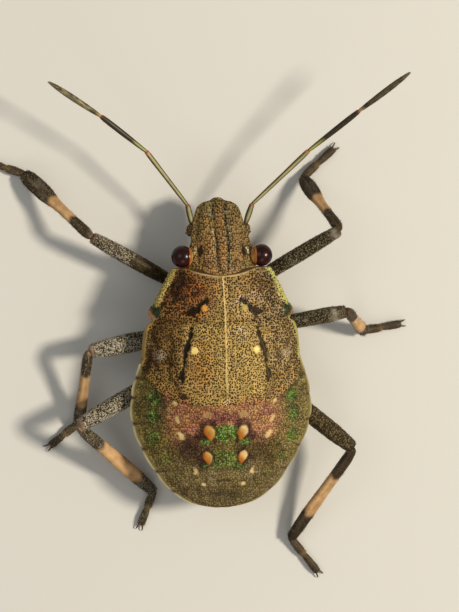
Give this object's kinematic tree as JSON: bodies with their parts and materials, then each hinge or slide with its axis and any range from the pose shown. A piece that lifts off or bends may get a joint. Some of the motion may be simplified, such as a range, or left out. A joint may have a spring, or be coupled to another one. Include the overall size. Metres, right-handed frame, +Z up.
{
  "type": "shield bug nymph",
  "caption": "Life-size still model of a shield bug nymph, standing with feelers spread.",
  "frame": {"origin": "on the floor under the middle of the whole bug's box", "axes": "+Z up, -Y towards the head, +X towards the bug's own left"},
  "size_m": [0.0184, 0.022, 0.0048],
  "materials": {
    "body_shell": "ochre shell with dense dark brown pits, semi-matt",
    "abdomen_shell": "red-brown to olive shell with metallic green patches, pale dots and a pale rim",
    "eye": "dark maroon, glossy, with an orange inner rim",
    "thigh": "grey-tan grains on dark brown, rough",
    "shin": "dark ends with a broad orange-tan ring",
    "foot": "dark brown, finely haired",
    "feeler": "olive-yellow at the root, dark brown towards the tip",
    "beak": "olive-tan with a dark tip"
  },
  "bodies": {
    "root": {"head": "body_shell", "eye_left": "eye", "eye_right": "eye", "rostrum": "beak", "pronotum": "body_shell", "mesothorax": "body_shell", "abdomen": "abdomen_shell", "antenna_left_1": "feeler", "antenna_left_2": "feeler", "antenna_left_3": "feeler", "antenna_left_4": "feeler", "antenna_right_1": "feeler", "antenna_right_2": "feeler", "antenna_right_3": "feeler", "antenna_right_4": "feeler", "femur_front_left": "thigh", "tibia_front_left": "shin", "tarsus_front_left": "foot", "femur_front_right": "thigh", "tibia_front_right": "shin", "tarsus_front_right": "foot", "femur_middle_left": "thigh", "tibia_middle_left": "shin", "tarsus_middle_left": "foot", "femur_middle_right": "thigh", "tibia_middle_right": "shin", "tarsus_middle_right": "foot", "femur_hind_left": "thigh", "tibia_hind_left": "shin", "tarsus_hind_left": "foot", "femur_hind_right": "thigh", "tibia_hind_right": "shin", "tarsus_hind_right": "foot"}
  },
  "joints": []
}
